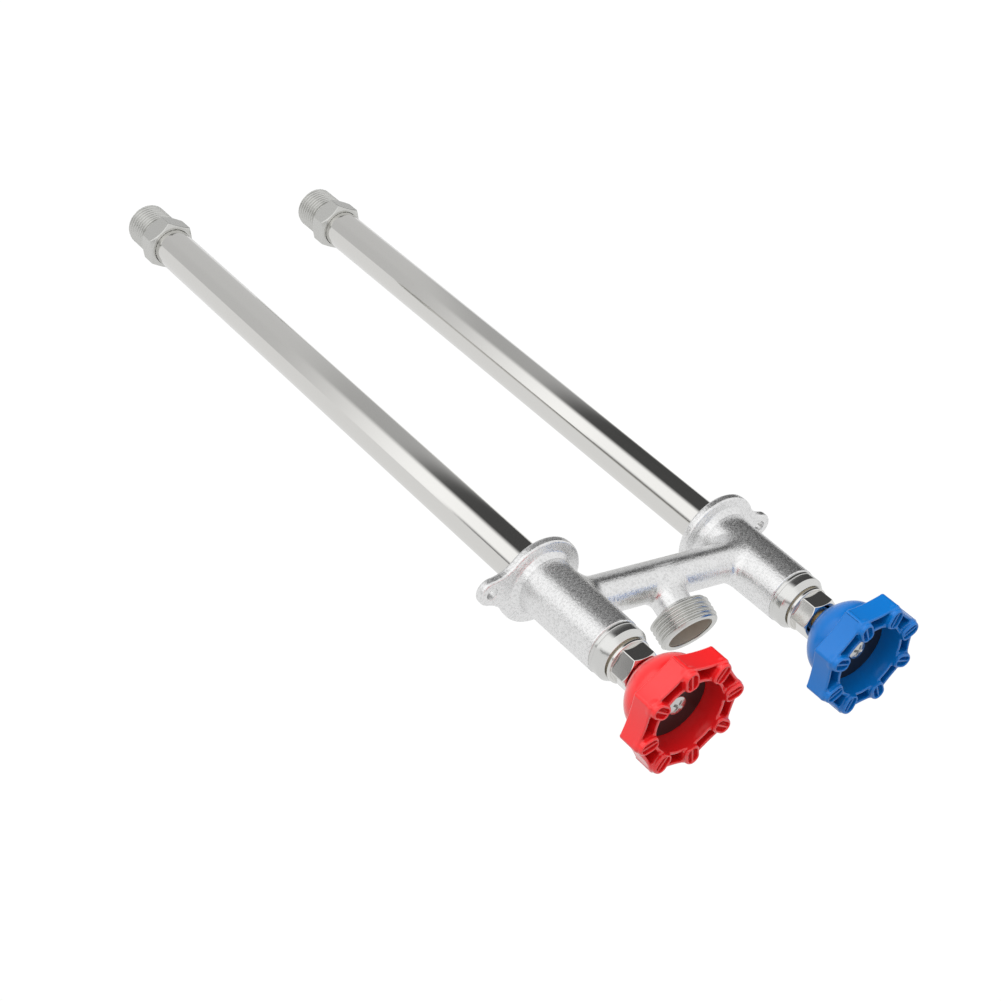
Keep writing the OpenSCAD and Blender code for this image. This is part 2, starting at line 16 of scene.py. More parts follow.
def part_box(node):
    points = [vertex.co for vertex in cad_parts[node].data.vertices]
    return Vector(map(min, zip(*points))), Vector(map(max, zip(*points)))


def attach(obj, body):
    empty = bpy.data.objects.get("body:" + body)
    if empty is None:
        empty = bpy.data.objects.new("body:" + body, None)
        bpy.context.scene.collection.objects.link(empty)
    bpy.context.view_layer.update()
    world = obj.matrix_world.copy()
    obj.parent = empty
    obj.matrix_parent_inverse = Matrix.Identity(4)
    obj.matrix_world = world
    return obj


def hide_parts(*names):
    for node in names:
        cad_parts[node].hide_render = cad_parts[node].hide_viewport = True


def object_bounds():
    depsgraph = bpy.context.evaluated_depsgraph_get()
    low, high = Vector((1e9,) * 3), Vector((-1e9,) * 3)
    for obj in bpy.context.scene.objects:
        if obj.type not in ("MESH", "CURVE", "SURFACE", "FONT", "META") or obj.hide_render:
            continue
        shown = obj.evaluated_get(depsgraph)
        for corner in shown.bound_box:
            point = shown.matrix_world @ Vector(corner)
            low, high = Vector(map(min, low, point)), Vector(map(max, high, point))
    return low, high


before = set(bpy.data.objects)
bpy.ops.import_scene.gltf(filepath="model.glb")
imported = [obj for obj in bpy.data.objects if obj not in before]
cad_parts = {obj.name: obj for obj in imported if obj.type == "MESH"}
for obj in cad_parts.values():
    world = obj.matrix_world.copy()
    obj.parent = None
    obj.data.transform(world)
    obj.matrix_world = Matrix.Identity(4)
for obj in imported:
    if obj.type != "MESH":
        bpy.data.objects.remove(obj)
cad_low, cad_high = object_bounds()
print("CAD box in mm:", [round((b - a) * 1000, 1) for a, b in zip(cad_low, cad_high)])

# %% [markdown]
# ## The sizes that both models share
#
# Every piece is drawn in its own frame: x across, y up, and z out of the wall along the
# valve's axis. That keeps turned parts simple, and one placement then puts the same mesh
# on the hot and on the cold side. Sizes are in millimetres, as on a drawing, and a place
# along the axis is a station: how far it lies in front of the wall face.
# What can be read from the CAD boxes is read from them, so it can't drift.

# %% Sizes in millimetres
MM = 0.001
INCH = 25.4
SIDES = {"hot": -1, "cold": 1}


def station(node, end):
    """How far a node reaches in front of the wall face: end is "front" or "back"."""
    low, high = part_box(node)
    return -(low.y if end == "front" else high.y) / MM


HALF_CENTRES = sum(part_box("cold_tube")[i].x for i in (0, 1)) / 2 / MM
COLD_OPEN = station("cold_handle", "front") - station("hot_handle", "front")
HANDLE_BACK = station("hot_handle", "back")
BODY_FRONT = station("hot_nut_gasket", "back")
NUT_FRONT = station("hot_packing_nut", "front")
TUBE_BACK = station("hot_tube", "back")
TUBE_FRONT = station("hot_tube", "front")
TIP = station("hot_inlet_fitting", "back")
SEAT = station("hot_inlet_fitting", "front")
print("tubes apart:", round(2 * HALF_CENTRES, 2), "cold valve open:", round(COLD_OPEN, 2))

# %% Sizes that the boxes don't tell
TUBE_R = 0.75 * INCH / 2
TUBE_FIT = 0.05
# The crossbar's axis lies at station BAR. The outlet leaves it TILT below straight ahead,
# and its mouth is OUTLET away from that axis
BAR = 20.0
TILT = math.radians(21.4)
OUTLET = 27.4
# How far each hand wheel stands turned at rest, in degrees, and how far its valve is open
TURN = {"hot": 65.0, "cold": 77.5}
OPEN = {"hot": 0.0, "cold": COLD_OPEN}
FINE = 1.0
print("crossbar at station", BAR, "and outlet mouth", OUTLET, "from its axis")

# %% [markdown]
# ## Distance fields
#
# A casting has no sharp corner: sand and metal round all of them. Bevels and boolean cuts
# can do that, but they break where three rounds meet. A distance field gives every
# meeting its fillet by one formula, so the cast and moulded pieces are drawn as fields.
# The field is negative in the metal, zero on the skin and positive outside.


# %% Bars, cones and how they meet
def between(h, low, high):
    """Distance to the slab between two stations."""
    return np.maximum(low - h, h - high)


def bar_field(r, h, radius, low, high, edge=0.0):
    """A round bar between two stations, with rounded ends."""
    a = r - (radius - edge)
    b = between(h, low, high) + edge
    outside = np.hypot(np.maximum(a, 0), np.maximum(b, 0))
    return outside + np.minimum(np.maximum(a, b), 0) - edge


def cone_field(r, h, radius, at, flare):
    """The inside of a cone with this radius at one station, which grows by flare per mm."""
    return (r - radius - (h - at) * flare) / math.hypot(1, flare)


def joined(a, b, fillet):
    """Both shapes, with a hollow fillet where they meet."""
    u, v = np.maximum(fillet - a, 0), np.maximum(fillet - b, 0)
    return np.maximum(np.minimum(a, b), fillet) - np.hypot(u, v)


def shared(a, b, edge):
    """What both shapes hold, with a rounded edge."""
    u, v = np.maximum(a + edge, 0), np.maximum(b + edge, 0)
    return np.minimum(np.maximum(a, b), -edge) + np.hypot(u, v)


def cut(a, b, edge):
    """The first shape without the second, with a rounded edge."""
    return shared(a, -b, edge)


print("distance to a 5 mm bar, on its axis, 1 mm in and 1 mm out:",
      bar_field(np.array([0.0, 4.0, 6.0]), 5.0, 5.0, 0.0, 10.0))

# %% [markdown]
# ## Hexagons and threads
#
# A nut's hexagon is three pairs of flat faces, and a thread is a ridge wound round a bar. A
# screw modifier could sweep a thread too, but its end would need hand work where it runs
# out. As fields both take the same bevels and cuts as everything else.

# %% Hexagon and thread
HEXAGON_EDGE = 0.25
# Shares of half a pitch: from the crest's middle to the flank's foot, and the flank alone
THREAD_FOOT = 0.86
THREAD_FLANK = 0.7
# Turns a distance along the radius into one to the slanting flank
THREAD_LEAN = 0.62


def hexagon_field(x, y, flats, corner_angle):
    """An endless hexagonal bar. corner_angle is where one of its corners points."""
    d = None
    for k in range(3):
        a = math.radians(corner_angle + 30 + 60 * k)
        face = np.abs(x * math.cos(a) + y * math.sin(a)) - flats / 2
        d = face if d is None else shared(d, face, HEXAGON_EDGE)
    return d


def thread_field(x, y, h, crest, depth, pitch):
    """A right hand thread on a round bar: flanks of 30 degrees, small flats."""
    turn = h / pitch + np.arctan2(y, x) / (2 * math.pi)
    flank = np.abs(turn - np.floor(turn) - 0.5) * 2
    height = np.clip((THREAD_FOOT - flank) / THREAD_FLANK, 0, 1)
    return (np.hypot(x, y) - (crest - depth) - depth * height) * THREAD_LEAN


print("a 20 mm hexagon reaches", round(20 / math.cos(math.radians(30)), 1), "mm over corners")

# %% [markdown]
# ## From a field to a mesh
#
# Blender's voxel remesh could turn a field into a mesh, but it wears every edge down by a
# voxel. The net method puts one point in every small cube that the skin passes through and
# joins neighbours into four-sided faces. It keeps flat faces flat where marching cubes
# leaves slivers. Each cell below tries its function on one small bar.


# %% Samples of a field
def field_values(field, low, step, counts):
    """The field on a grid of points, worked out a few layers at a time to save memory."""
    axes = [low[i] + step * np.arange(counts[i]) for i in range(3)]
    values = np.empty(counts, np.float32)
    layers = 16
    for start in range(0, counts[0], layers):
        x, y, h = np.meshgrid(axes[0][start:start + layers], axes[1], axes[2], indexing="ij")
        values[start:start + layers] = field(x, y, h)
    return values


def trial_bar(x, y, h):
    """A bar of 5 mm radius and 10 mm length, with round edges of 1 mm."""
    return bar_field(np.hypot(x, y), h, 5.0, 0.0, 10.0, edge=1.0)


trial_low, trial_step = np.array([-6.2, -6.2, -1.3]), 1.0
trial_values = field_values(trial_bar, trial_low, trial_step, (14, 14, 14))
print("samples:", trial_values.size, "in the metal:", int((trial_values < 0).sum()))


# %% Points of the net
def net_points(values, low, step):
    """One point for each cube that the skin crosses, and the number of each cube."""
    solid = values < 0
    n = [c - 1 for c in values.shape]
    corners = [(i, j, k) for i in (0, 1) for j in (0, 1) for k in (0, 1)]
    filled = sum(
        solid[i:i + n[0], j:j + n[1], k:k + n[2]].astype(np.int8) for i, j, k in corners
    )
    cubes = np.argwhere((filled > 0) & (filled < 8))
    number = np.full(n, -1, np.int32)
    number[tuple(cubes.T)] = np.arange(len(cubes))
    # The point is the mean of where the skin cuts the cube's twelve edges
    total, hits = np.zeros((len(cubes), 3)), np.zeros(len(cubes))
    for a in corners:
        for axis in range(3):
            if a[axis]:
                continue
            b = tuple(1 if i == axis else a[i] for i in range(3))
            va = values[tuple((cubes + a).T)].astype(float)
            vb = values[tuple((cubes + b).T)].astype(float)
            crossed = (va < 0) != (vb < 0)
            t = np.where(crossed, va / np.where(crossed, va - vb, 1), 0)
            total += crossed[:, None] * (np.array(a) + t[:, None] * (np.array(b) - a))
            hits += crossed
    return (cubes + total / hits[:, None]) * step + low, number


trial_points, trial_number = net_points(trial_values, trial_low, trial_step)
print("points on the small bar:", len(trial_points))


# %% Faces of the net
def net_faces(values, number):
    """A four-sided face round every grid edge that the skin crosses."""
    solid = values < 0
    faces = []
    for axis in range(3):
        p, q = (axis + 1) % 3, (axis + 2) % 3
        first = np.take(solid, range(solid.shape[axis] - 1), axis)
        second = np.take(solid, range(1, solid.shape[axis]), axis)
        at = np.argwhere(first != second)
        inside = (at[:, p] > 0) & (at[:, q] > 0)
        inside &= (at[:, p] < values.shape[p] - 1) & (at[:, q] < values.shape[q] - 1)
        at = at[inside]
        ep, eq = np.eye(3, dtype=int)[p], np.eye(3, dtype=int)[q]
        quad = [number[tuple((at - d).T)] for d in (0 * ep, ep, ep + eq, eq)]
        quad = np.stack(quad, 1)
        flip = ~first[tuple(at.T)]
        quad[flip] = quad[flip][:, ::-1]
        faces.append(quad)
    return np.concatenate(faces)


print("faces on the small bar:", len(net_faces(trial_values, trial_number)))

# %% [markdown]
# ## Onto the true skin
#
# The net's points lie only near the skin, which would show as ripples in polished metal.
# So each point slides down the field's slope until the field is zero there. The slope also
# gives the shading normal. Weighted normals from the faces would be easier, but they bend
# reflections near every fillet, and the slope doesn't.


# %% Slope and slide
def slope(field, p, reach):
    """The field's gradient at points p."""
    g = np.empty_like(p)
    for axis in range(3):
        d = np.zeros(3)
        d[axis] = reach
        g[:, axis] = (field(*(p + d).T) - field(*(p - d).T)) / (2 * reach)
    return g


def slid(field, points, step):
    """The points after four short moves down the slope, each at most half a step."""
    for _ in range(4):
        g = slope(field, points, 0.1 * step)
        d = field(*points.T)
        move = -g * (d / np.maximum((g * g).sum(1), 0.05))[:, None]
        length = np.linalg.norm(move, axis=1, keepdims=True)
        points = points + move * np.minimum(1, 0.5 * step / np.maximum(length, 1e-9))
    return points


for label, p in (("before", trial_points), ("after", slid(trial_bar, trial_points, trial_step))):
    print(label, "the slide, mm off the skin:", round(float(np.abs(trial_bar(*p.T)).max()), 4))


# %% Mesh of a skin
def skin(name, field, low, high, step):
    """A mesh of the field's skin inside a box, in the piece's own frame."""
    step = step * FINE
    low = np.array(low, float)
    counts = np.ceil((np.array(high, float) - low) / step).astype(int) + 1
    values = field_values(field, low, step, counts)
    points, number = net_points(values, low, step)
    points = slid(field, points, step)
    faces = net_faces(values, number)
    normals = slope(field, points, 0.2 * step)
    normals /= np.maximum(np.linalg.norm(normals, axis=1, keepdims=True), 1e-9)
    mesh = bpy.data.meshes.new(name)
    mesh.vertices.add(len(points))
    mesh.vertices.foreach_set("co", (points * MM).astype(np.float32).ravel())
    mesh.loops.add(faces.size)
    mesh.loops.foreach_set("vertex_index", faces.ravel())
    mesh.polygons.add(len(faces))
    mesh.polygons.foreach_set("loop_start", np.arange(0, faces.size, 4))
    mesh.update(calc_edges=True)
    mesh.shade_smooth()
    mesh.normals_split_custom_set_from_vertices(normals)
    print(name, "has", len(faces), "faces")
    return mesh


# %% [markdown]
# ## Turned pieces
#
# A lathe makes tubes, bands, discs and washers, so a profile swept round the axis is the
# whole shape, and it needs far fewer faces than a field. Each corner of the profile gets a
# small round, because a tool or a file breaks every real edge, and it is that round which
# catches the light.


# %% Mesh from a profile
def eased(profile, radius):
    """The closed profile with each corner cut back by a short arc."""
    out = []
    n = len(profile)
    for i in range(n):
        a, b, c = (np.array(profile[(i + k) % n], float) for k in (-1, 0, 1))
        la, lc = np.linalg.norm(a - b), np.linalg.norm(c - b)
        reach = min(radius, 0.45 * la, 0.45 * lc)
        p, q = b + (a - b) / la * reach, b + (c - b) / lc * reach
        for t in (0, 0.25, 0.5, 0.75, 1):
            out.append((1 - t) ** 2 * p + 2 * t * (1 - t) * b + t * t * q)
    return out


def turned(name, profile, ease=0.15, around=192):
    """A ring swept round the axis from a closed profile of (radius, station) pairs."""
    rim = eased(profile, ease)
    around = int(around / FINE)
    points, faces = [], []
    for r, h in rim:
        for k in range(around):
            a = 2 * math.pi * k / around
            points.append((r * math.cos(a) * MM, r * math.sin(a) * MM, h * MM))
    n = len(rim)
    for i in range(n):
        for k in range(around):
            j, m = (i + 1) % n, (k + 1) % around
            faces.append((i * around + k, i * around + m, j * around + m, j * around + k))
    mesh = bpy.data.meshes.new(name)
    mesh.from_pydata(points, [], faces)
    mesh.shade_smooth()
    mesh.set_sharp_from_angle(angle=math.radians(34))
    print(name, "has", len(faces), "faces")
    return mesh


print("an eased square has", len(eased([(1, 0), (2, 0), (2, 1), (1, 1)], 0.1)), "points")

# %% [markdown]
# ## One placement for every piece
#
# Each piece has to ride on the body that carries it, so that it moves when a joint turns,
# and it stands for the CAD solid that it replaces. A parent on an empty named for the body
# does the first, and hiding the CAD solid does the second. Stems and hand wheels also stand
# turned, and those of the cold side a little open.


# %% Placement
def placed(name, mesh, material, body, nodes, side=None, turn=0.0, out=0.0):
    """Put up an object that shows the mesh, rides on a body and stands for nodes."""
    if turn:
        mesh = mesh.copy()
        mesh.transform(Matrix.Rotation(math.radians(turn), 4, "Z"))
    obj = bpy.data.objects.new(name, mesh)
    bpy.context.scene.collection.objects.link(obj)
    if not mesh.materials:
        mesh.materials.append(material)
    obj.material_slots[0].link = "OBJECT"
    obj.material_slots[0].material = material
    x = 0 if side is None else SIDES[side] * HALF_CENTRES * MM
    out_of_wall = Matrix.Rotation(math.pi / 2, 4, "X")
    obj.matrix_world = Matrix.Translation((x, -out * MM, 0)) @ out_of_wall
    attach(obj, body)
    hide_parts(*nodes)
    print(name, "rides on", body)


print("valve axes at", {side: round(sign * HALF_CENTRES, 1) for side, sign in SIDES.items()})

# %% [markdown]
# ## Finishes
#
# Painted image maps would need every piece unwrapped. Here each finish is worked out from
# position instead, with grain sizes in millimetres, so it fits any piece. Colours are read
# as a screen shows them and turned to linear light by one function.


# %% Colours and shader nodes
def linear(code):
    """A hex colour, as a screen shows it, as linear red, green, blue and alpha."""
    values = [int(code[i:i + 2], 16) / 255 for i in (1, 3, 5)]
    values = [v / 12.92 if v <= 0.04045 else ((v + 0.055) / 1.055) ** 2.4 for v in values]
    return (*values, 1.0)


def add(tree, kind, inputs=None, links=None, **settings):
    """A node with its settings, constant inputs and links from other nodes' outputs."""
    node = tree.nodes.new(kind)
    for key, value in settings.items():
        setattr(node, key, value)
    for key, value in (inputs or {}).items():
        node.inputs[key].default_value = value
    for key, source in (links or {}).items():
        tree.links.new(source, node.inputs[key])
    return node


def surface(name, colour, metallic=0.0, roughness=0.5, **extra):
    """A Principled material. Returns the material, its tree and its shader."""
    material = bpy.data.materials.new(name)
    material.use_nodes = True
    tree = material.node_tree
    shader = tree.nodes["Principled BSDF"]
    shader.inputs["Base Color"].default_value = linear(colour)
    shader.inputs["Metallic"].default_value = metallic
    shader.inputs["Roughness"].default_value = roughness
    for key, value in extra.items():
        shader.inputs[key.replace("_", " ")].default_value = value
    return material, tree, shader


print("middle grey on a screen is", round(linear("#808080")[0], 3), "of full light")


# %% Relief and what follows it
def grain(tree, shader, size_mm, height_mm, detail=2.0, stretch=(1, 1, 1)):
    """Fine relief: bumps of a real size and height."""
    where = add(tree, "ShaderNodeTexCoord").outputs["Object"]
    scaled = add(
        tree, "ShaderNodeMapping", {"Scale": [s / (size_mm * MM) for s in stretch]},
        {"Vector": where},
    )
    noise = add(
        tree, "ShaderNodeTexNoise", {"Scale": 1.0, "Detail": detail, "Roughness": 0.6},
        {"Vector": scaled.outputs["Vector"]},
    )
    bump = add(
        tree, "ShaderNodeBump", {"Strength": 1.0, "Distance": height_mm * MM},
        {"Height": noise.outputs["Fac"]},
    )
    tree.links.new(bump.outputs["Normal"], shader.inputs["Normal"])
    return noise


def uneven(tree, shader, noise, low, high):
    """Roughness that follows the relief between two values."""
    spread = add(
        tree, "ShaderNodeMapRange",
        {"From Min": 0.3, "From Max": 0.7, "To Min": low, "To Max": high},
        {"Value": noise.outputs["Fac"]},
    )
    tree.links.new(spread.outputs["Result"], shader.inputs["Roughness"])


def speckled(tree, shader, noise, dark, light):
    """Base colour that follows the relief: dull pits, bright high spots."""
    spread = add(tree, "ShaderNodeValToRGB", links={"Fac": noise.outputs["Fac"]})
    ends = spread.color_ramp.elements
    ends[0].position, ends[0].color = 0.36, linear(dark)
    ends[1].position, ends[1].color = 0.54, linear(light)
    tree.links.new(spread.outputs["Color"], shader.inputs["Base Color"])


print("a grain of 1 mm repeats", round(1 / MM), "times in a metre")

# %% [markdown]
# ## Plated metal
#
# Chrome on a buffed tube is a mirror. The same plating on a blasted casting is satin and
# grainy, since the plate copies every grit mark below it. One chrome for all would make
# the tap look like plastic, so each way of working the metal below gets its own finish.

# %% Plated metal
# Plate on a blasted casting: where it mirrors something dark, the dark breaks up into
# grains. Grit marks are finer than the picture can show, so they are drawn 1 mm wide
cast_plate, tree, shader = surface("cast_satin_plate", "#E4E4E4", 1.0, 0.34)
relief = grain(tree, shader, 1.05, 0.13, 3.0)
uneven(tree, shader, relief, 0.22, 0.34)
speckled(tree, shader, relief, "#DCDCDC", "#F1F1F1")

# Buffed lengthways: a clear mirror with long faint waves
polished, tree, shader = surface("polished_chrome", "#E2E1DE", 1.0, 0.09)
grain(tree, shader, 2.5, 0.002, 2.0, (1, 1, 0.06))

# Turned before plating: rings from the tool smear the mirror along the axis
turned_plate, tree, shader = surface("turned_plate", "#DADAD8", 1.0, 0.16)
grain(tree, shader, 0.5, 0.004, 1.0, (0.02, 0.02, 1))

# Thin plate on turned and threaded brass: an even grey, and light that fades softly
fitting_plate, tree, shader = surface("satin_plated_brass", "#D0D0CD", 1.0, 0.26)
grain(tree, shader, 0.6, 0.006, 2.0)
print("plated:", [m.name for m in (cast_plate, polished, turned_plate, fitting_plate)])

# %% [markdown]
# ## Bare metal, enamel, plastic and rubber
#
# Inside, the metal keeps its own colour. Enamel is a coloured base under a clear glossy
# film, so it mirrors weakly and keeps its colour in the shade. Plastic and rubber are dark
# and reflect almost nothing, which sets the bright metal off.

# %% Bare metal and enamel
# The water way is never plated: dull, warm and rough from the core
bare_casting, tree, shader = surface("bare_casting", "#B9B2A6", 0.5, 0.55)
grain(tree, shader, 0.9, 0.03, 2.0)

# Turned brass: yellow, with fine rings round the axis
brass, tree, shader = surface("bare_brass", "#EECB8E", 0.9, 0.42)
grain(tree, shader, 0.4, 0.004, 1.0, (0.05, 0.05, 1))


def enamel(name, colour, film):
    """A coloured base under a clear film. film is how strongly that mirrors, from 0 to 1."""
    made, tree, shader = surface(
        name, colour, 0.0, 0.4,
        Specular_IOR_Level=0.4 * film, Coat_Weight=film, Coat_Roughness=0.12,
    )
    grain(tree, shader, 1.8, 0.004, 1.0)
    return made


# Sprayed enamel: a broad shine, with faint waves like an orange's peel
red_enamel = enamel("red_enamel", "#D61418", 0.9)
blue_enamel = enamel("blue_enamel", "#0064B0", 0.5)
print("bare or enamelled:", [m.name for m in (bare_casting, brass, red_enamel, blue_enamel)])

# %% Plastic, rubber, fibre and steel
# Moulded plastic: black with a soft shine
black_plastic = surface("black_plastic", "#0C0A0A", 0.0, 0.3)[0]
# Moulded rubber: black and matt
rubber = surface("packing_rubber", "#1B1B1B", 0.0, 0.7)[0]
# Pressed fibre: grey brown, like card
fibre = surface("fibre", "#8C8474", 0.0, 0.8)[0]
# Rolled stainless steel: a soft mirror, darker than chrome
steel = surface("screw_steel", "#CFCFCD", 1.0, 0.22)[0]
print("plain:", [m.name for m in (black_plastic, rubber, fibre, steel)])

# %% [markdown]
# ## The casting
#
# One pour makes the flanges with their ears, the valve bodies, the crossbar and the neck of
# the hose outlet. The real one is blasted and plated and then bored from each open end.
# Joined cylinders with a bevel modifier would leave a seam at each meeting, so it is a
# field. It is drawn with x across both sides, and folded at the middle, because the two
# halves are mirror images.

# %% Sizes of the casting
FLANGE_R, FLANGE_T = 20.0, 4.0
EAR_R, EAR_FILLET, EAR_HOLE_R = 6.0, 15.0, 2.6
EAR_X = 6 * INCH / 2 - HALF_CENTRES
BOSS_R, BOSS_FRONT = 14.1, 5.4
BODY_R, BODY_BACK, BODY_END = 13.1, 0.6, 50.4
BODY_DRAFT, DRAFT_FROM = 0.0067, 5.0
COLLAR_R, COLLAR_BACK, COLLAR_END = 11.6, -4.0, 2.0
CROSSBAR_R, CROSSBAR_BORE_R = 8.7, 6.0
NECK_R, NECK_END, NECK_BORE_R = 8.15, 16.8, 5.6
VALVE_BORE_R, STEM_BORE_R, NUT_BORE_R = 8.2, 5.55, 8.55
VALVE_BORE_BACK, VALVE_BORE_END = 9.0, 44.0
# PAST_FRONT lies in front of the casting, so the bores that reach it come out open
STEM_BORE_BACK, NUT_BORE_BACK, PAST_FRONT = 43.0, 49.0, 60.0
print("ear screws apart:", round(2 * (HALF_CENTRES + EAR_X), 1))


# %% Outline of a flange and axes of the outlet
def flange_outline(u, v):
    """Distance to the outline of a flange with its ear, seen from the front."""
    v = np.abs(v)
    far, near = FLANGE_R + EAR_FILLET, EAR_R + EAR_FILLET
    cx = (far**2 - near**2 + EAR_X**2) / (2 * EAR_X)
    cy = math.sqrt(far**2 - cx**2)
    disc = np.hypot(u, v) - FLANGE_R
    ear = np.hypot(u - EAR_X, v) - EAR_R
    below_first = u * cy - v * cx > 0
    below_second = (u - EAR_X) * cy - v * (cx - EAR_X) < 0
    hollow = EAR_FILLET - np.hypot(u - cx, v - cy)
    return np.where(below_first & below_second, hollow, np.minimum(disc, ear))


def outlet_axes(x, y, h):
    """Station along the outlet, and the distance from its axis."""
    along = (h - BAR) * math.cos(TILT) - y * math.sin(TILT)
    over = (h - BAR) * math.sin(TILT) + y * math.cos(TILT)
    return along, np.hypot(x, over)


print("from ear tip to the middle of its flange:", round(EAR_X + EAR_R, 1))


# %% Casting
def cast_outside(u, y, h, side, r, along, from_outlet):
    """The casting before it is bored."""
    plate = bar_field(flange_outline(u, y), h, 0, 0, FLANGE_T, edge=1.1)
    boss = bar_field(r, h, BOSS_R, 0.5, BOSS_FRONT, edge=1.0)
    drafted = r - BODY_R + BODY_DRAFT * (h - DRAFT_FROM)
    body = shared(drafted, between(h, BODY_BACK, BODY_END), edge=0.35)
    collar = bar_field(r, h, COLLAR_R, COLLAR_BACK, COLLAR_END, edge=0.5)
    crossbar = np.maximum(np.hypot(h - BAR, y) - CROSSBAR_R, side - HALF_CENTRES)
    neck = np.maximum(from_outlet - NECK_R, between(along, 0, NECK_END))
    solid = joined(joined(plate, boss, fillet=1.6), body, fillet=1.6)
    solid = np.minimum(solid, collar)
    return joined(solid, joined(crossbar, neck, fillet=3.0), fillet=3.5)


def casting_field(x, y, h):
    """The whole casting, with its bores and the screw holes in its ears."""
    side = np.abs(x)
    u = side - HALF_CENTRES
    r = np.hypot(u, y)
    along, from_outlet = outlet_axes(x, y, h)
    solid = cast_outside(u, y, h, side, r, along, from_outlet)
    bores = [
        bar_field(r, h, TUBE_R + TUBE_FIT, COLLAR_BACK - 2, TUBE_FRONT + TUBE_FIT),
        bar_field(r, h, VALVE_BORE_R, VALVE_BORE_BACK, VALVE_BORE_END),
        bar_field(r, h, STEM_BORE_R, STEM_BORE_BACK, PAST_FRONT),
        bar_field(r, h, NUT_BORE_R, NUT_BORE_BACK, PAST_FRONT),
        np.maximum(np.hypot(h - BAR, y) - CROSSBAR_BORE_R, side - HALF_CENTRES),
        np.maximum(from_outlet - NECK_BORE_R, -along),
    ]
    for bore in bores:
        solid = np.maximum(solid, -bore)
    return cut(solid, np.hypot(u - EAR_X, y) - EAR_HOLE_R, edge=0.3)


# %% Skin of the casting
casting_mesh = skin("casting_skin", casting_field, (-83.5, -21.5, -5), (83.5, 21.5, 51.5), 0.42)
placed("casting_skin", casting_mesh, cast_plate, "sillcock", ["valve_casting"])

# %% [markdown]
# ## Turned faces of the casting
#
# After casting, the front of each valve body is turned to a bright band with a bevelled
# nose, where the packing nut screws in. A fine line left by the tool runs round it. It
# could be a material on part of the casting, but its edges are crisp and the cast skin's
# aren't, so each band is a ring of its own.

# %% Turned bands
BAND_BACK, BAND_R, STEP_R = 49.2, 12.45, 12.3
NOSE_BACK, NOSE_R = BODY_FRONT - 2.6, 10.7
band_profile = [
    (NUT_BORE_R, BAND_BACK), (STEP_R, BAND_BACK), (STEP_R, BAND_BACK + 1.4),
    (BAND_R, BAND_BACK + 1.6), (BAND_R, BAND_BACK + 2.7), (STEP_R, BAND_BACK + 2.85),
    (STEP_R, BAND_BACK + 3.05), (BAND_R, BAND_BACK + 3.2), (BAND_R, NOSE_BACK),
    (NOSE_R, BODY_FRONT), (NUT_BORE_R, BODY_FRONT),
]
band_mesh = turned("front_band", band_profile, ease=0.12)
for side in SIDES:
    placed(side + "_front_band", band_mesh, turned_plate, "sillcock", ["valve_casting"],
           side=side)

# %% [markdown]
# ## Hose outlet
#
# The hose thread is coarse, eleven and a half turns to the inch on a 27 mm collar, with a
# wide mouth for the hose washer. A bump map could fake the thread, but its outline shows
# against the floor. A helix is cut by the field itself: its height depends on the angle
# as well as on the station, so each crest climbs one pitch in one turn.

# %% Hose collar with its thread
HOSE_CREST_R, HOSE_DEPTH, HOSE_PITCH = 13.49, 1.15, INCH / 11.5
HOSE_CORE_R, HOSE_BACK = 12.4, OUTLET - 11.0
MOUTH_R, MOUTH_DEPTH = 10.2, 8.4


def hose_field(x, y, h):
    """The collar: thread, core, bevels at both ends, a cone to the neck and the mouth."""
    r = np.hypot(x, y)
    solid = thread_field(x, y, h, HOSE_CREST_R, HOSE_DEPTH, HOSE_PITCH)
    core = bar_field(r, h, HOSE_CORE_R, HOSE_BACK - 0.2, OUTLET, edge=0.3)
    solid = np.minimum(solid, core)
    solid = shared(solid, cone_field(r, h, 12.55, OUTLET, -1), edge=0.15)
    solid = shared(solid, cone_field(r, h, 12.7, HOSE_BACK, 1.2), edge=0.2)
    solid = np.maximum(solid, h - OUTLET)
    solid = np.maximum(solid, cone_field(r, h, 8.1, HOSE_BACK - 1.6, 2.2))
    mouth = bar_field(r, h, MOUTH_R, OUTLET - MOUTH_DEPTH, OUTLET + 5)
    solid = cut(solid, mouth, edge=0.3)
    return np.maximum(solid, NECK_BORE_R - r)


hose_mesh = skin("hose_thread", hose_field, (-14, -14, 14.4), (14, 14, 28), 0.22)
hose_mesh.transform(Matrix.Rotation(TILT, 4, "X"))
placed("hose_thread", hose_mesh, fitting_plate, "sillcock", ["valve_casting"], out=BAR)

# %% [markdown]
# ## Lining of the outlet
#
# Plating doesn't reach deep into a bore, so the water way keeps the dull colour of the
# casting. A thin turned lining shows that, with the same step as the mouth. A mask in the
# plated material would do as well, but it would be tied to this one piece.

# %% Outlet lining
LINING, LINING_GAP = 0.18, 0.02
LINING_BACK, LINING_FRONT = 8.0, OUTLET - 0.8
SHELF = OUTLET - MOUTH_DEPTH
neck_r, mouth_r = NECK_BORE_R - LINING_GAP, MOUTH_R - LINING_GAP
lining_profile = [
    (neck_r, LINING_BACK), (neck_r, SHELF - 0.05), (mouth_r, SHELF - 0.05),
    (mouth_r, LINING_FRONT), (mouth_r - LINING, LINING_FRONT), (mouth_r - LINING, SHELF + 0.15),
    (neck_r - LINING, SHELF + 0.15), (neck_r - LINING, LINING_BACK),
]
lining_mesh = turned("outlet_lining", lining_profile, ease=0.05)
lining_mesh.transform(Matrix.Rotation(TILT, 4, "X"))
placed("outlet_lining", lining_mesh, bare_casting, "sillcock", ["valve_casting"], out=BAR)

# %% [markdown]
# ## Long tubes
#
# Drawn copper tube, chrome plated and buffed lengthways. Its mirror stretches every
# reflection into a stripe along the tube. Blender's cylinder starts with 32 sides, which
# show in a mirror, so the tube is turned from its wall with 256.

